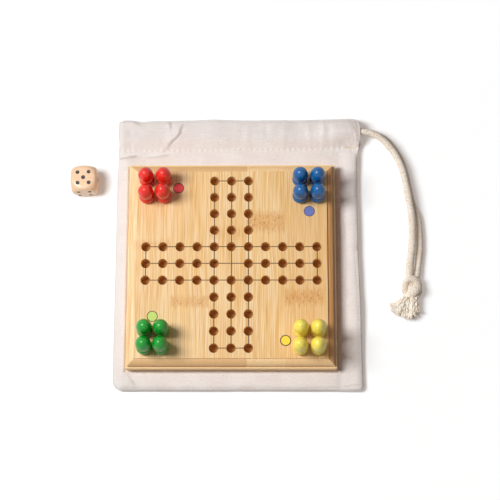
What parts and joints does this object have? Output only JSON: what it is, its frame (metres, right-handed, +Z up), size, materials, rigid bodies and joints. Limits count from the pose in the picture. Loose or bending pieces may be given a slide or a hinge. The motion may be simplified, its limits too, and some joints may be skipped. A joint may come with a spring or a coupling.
{
  "type": "travel ludo game",
  "caption": "Square bamboo peg board with a stepped border, turned pawns in its corner holes and a rounded die, lying on its flat cotton drawstring bag.",
  "frame": {"origin": "on the table, under the middle of the board and under the bag that lies below it", "axes": "+Z up, out of the playing side; +Y away from the front, towards the bag's hem; +X right, towards the drawstring's side"},
  "size_m": [0.2393, 0.1882, 0.0395],
  "materials": {
    "bag_cotton": "plain-woven unbleached cotton with slubs, matt",
    "cord_cotton": "soft braided unbleached cotton cord, matt",
    "board_bamboo": "sanded laminated bamboo, thin satin varnish",
    "red_lacquer": "turned wood, glossy red lacquer",
    "blue_lacquer": "turned wood, glossy blue lacquer",
    "green_lacquer": "turned wood, glossy green lacquer",
    "yellow_lacquer": "turned wood, glossy yellow lacquer",
    "die_wood": "pale wood, clear satin varnish, black pips"
  },
  "bodies": {
    "bag": {"bag_back_panel": "bag_cotton", "bag_front_panel": "bag_cotton", "drawstring_in_casing": "cord_cotton", "drawstring_upper_strand": "cord_cotton", "drawstring_lower_strand": "cord_cotton", "drawstring_knot": "cord_cotton", "drawstring_tassel": "cord_cotton"},
    "board": {"board": "board_bamboo"},
    "red_pawn_1": {"red_pawn_1": "red_lacquer"},
    "red_pawn_2": {"red_pawn_2": "red_lacquer"},
    "red_pawn_3": {"red_pawn_3": "red_lacquer"},
    "red_pawn_4": {"red_pawn_4": "red_lacquer"},
    "blue_pawn_1": {"blue_pawn_1": "blue_lacquer"},
    "blue_pawn_2": {"blue_pawn_2": "blue_lacquer"},
    "blue_pawn_3": {"blue_pawn_3": "blue_lacquer"},
    "blue_pawn_4": {"blue_pawn_4": "blue_lacquer"},
    "green_pawn_1": {"green_pawn_1": "green_lacquer"},
    "green_pawn_2": {"green_pawn_2": "green_lacquer"},
    "green_pawn_3": {"green_pawn_3": "green_lacquer"},
    "green_pawn_4": {"green_pawn_4": "green_lacquer"},
    "yellow_pawn_1": {"yellow_pawn_1": "yellow_lacquer"},
    "yellow_pawn_2": {"yellow_pawn_2": "yellow_lacquer"},
    "yellow_pawn_3": {"yellow_pawn_3": "yellow_lacquer"},
    "yellow_pawn_4": {"yellow_pawn_4": "yellow_lacquer"},
    "die": {"die": "die_wood"}
  },
  "joints": [
    {"name": "board_lift", "type": "slide", "parent": "bag", "child": "board", "axis": [0, 0, 1], "range_m": [0, 0.06]},
    {"name": "red_pawn_1_lift", "type": "slide", "parent": "board", "child": "red_pawn_1", "axis": [0.0105, -0.0105, 0.9999], "range_m": [0, 0.02]},
    {"name": "red_pawn_2_lift", "type": "slide", "parent": "board", "child": "red_pawn_2", "axis": [0.0279, -0.0087, 0.9996], "range_m": [0, 0.02]},
    {"name": "red_pawn_3_lift", "type": "slide", "parent": "board", "child": "red_pawn_3", "axis": [0.0209, -0.0174, 0.9996], "range_m": [0, 0.02]},
    {"name": "red_pawn_4_lift", "type": "slide", "parent": "board", "child": "red_pawn_4", "axis": [0.0052, 0.007, 1], "range_m": [0, 0.02]},
    {"name": "blue_pawn_1_lift", "type": "slide", "parent": "board", "child": "blue_pawn_1", "axis": [0.0122, -0.007, 0.9999], "range_m": [0, 0.02]},
    {"name": "blue_pawn_2_lift", "type": "slide", "parent": "board", "child": "blue_pawn_2", "axis": [0.0209, -0.0105, 0.9997], "range_m": [0, 0.02]},
    {"name": "blue_pawn_3_lift", "type": "slide", "parent": "board", "child": "blue_pawn_3", "axis": [0.0192, -0.014, 0.9997], "range_m": [0, 0.02]},
    {"name": "blue_pawn_4_lift", "type": "slide", "parent": "board", "child": "blue_pawn_4", "axis": [0.0227, 0.0035, 0.9997], "range_m": [0, 0.02]},
    {"name": "green_pawn_1_lift", "type": "slide", "parent": "board", "child": "green_pawn_1", "axis": [0.0489, 0.0035, 0.9988], "range_m": [0, 0.02]},
    {"name": "green_pawn_2_lift", "type": "slide", "parent": "board", "child": "green_pawn_2", "axis": [0.0175, -0.0035, 0.9998], "range_m": [0, 0.02]},
    {"name": "green_pawn_3_lift", "type": "slide", "parent": "board", "child": "green_pawn_3", "axis": [0.0314, 0.0174, 0.9994], "range_m": [0, 0.02]},
    {"name": "green_pawn_4_lift", "type": "slide", "parent": "board", "child": "green_pawn_4", "axis": [0.0052, 0.0175, 0.9998], "range_m": [0, 0.02]},
    {"name": "yellow_pawn_1_lift", "type": "slide", "parent": "board", "child": "yellow_pawn_1", "axis": [0.0017, 0, 1], "range_m": [0, 0.02]},
    {"name": "yellow_pawn_2_lift", "type": "slide", "parent": "board", "child": "yellow_pawn_2", "axis": [0.0017, -0.0035, 1], "range_m": [0, 0.02]},
    {"name": "yellow_pawn_3_lift", "type": "slide", "parent": "board", "child": "yellow_pawn_3", "axis": [-0.0262, -0.007, 0.9996], "range_m": [0, 0.02]},
    {"name": "yellow_pawn_4_lift", "type": "slide", "parent": "board", "child": "yellow_pawn_4", "axis": [-0.007, -0.0035, 1], "range_m": [0, 0.02]},
    {"name": "die_lift", "type": "slide", "parent": "bag", "child": "die", "axis": [0, 0, 1], "range_m": [0, 0.05]}
  ]
}
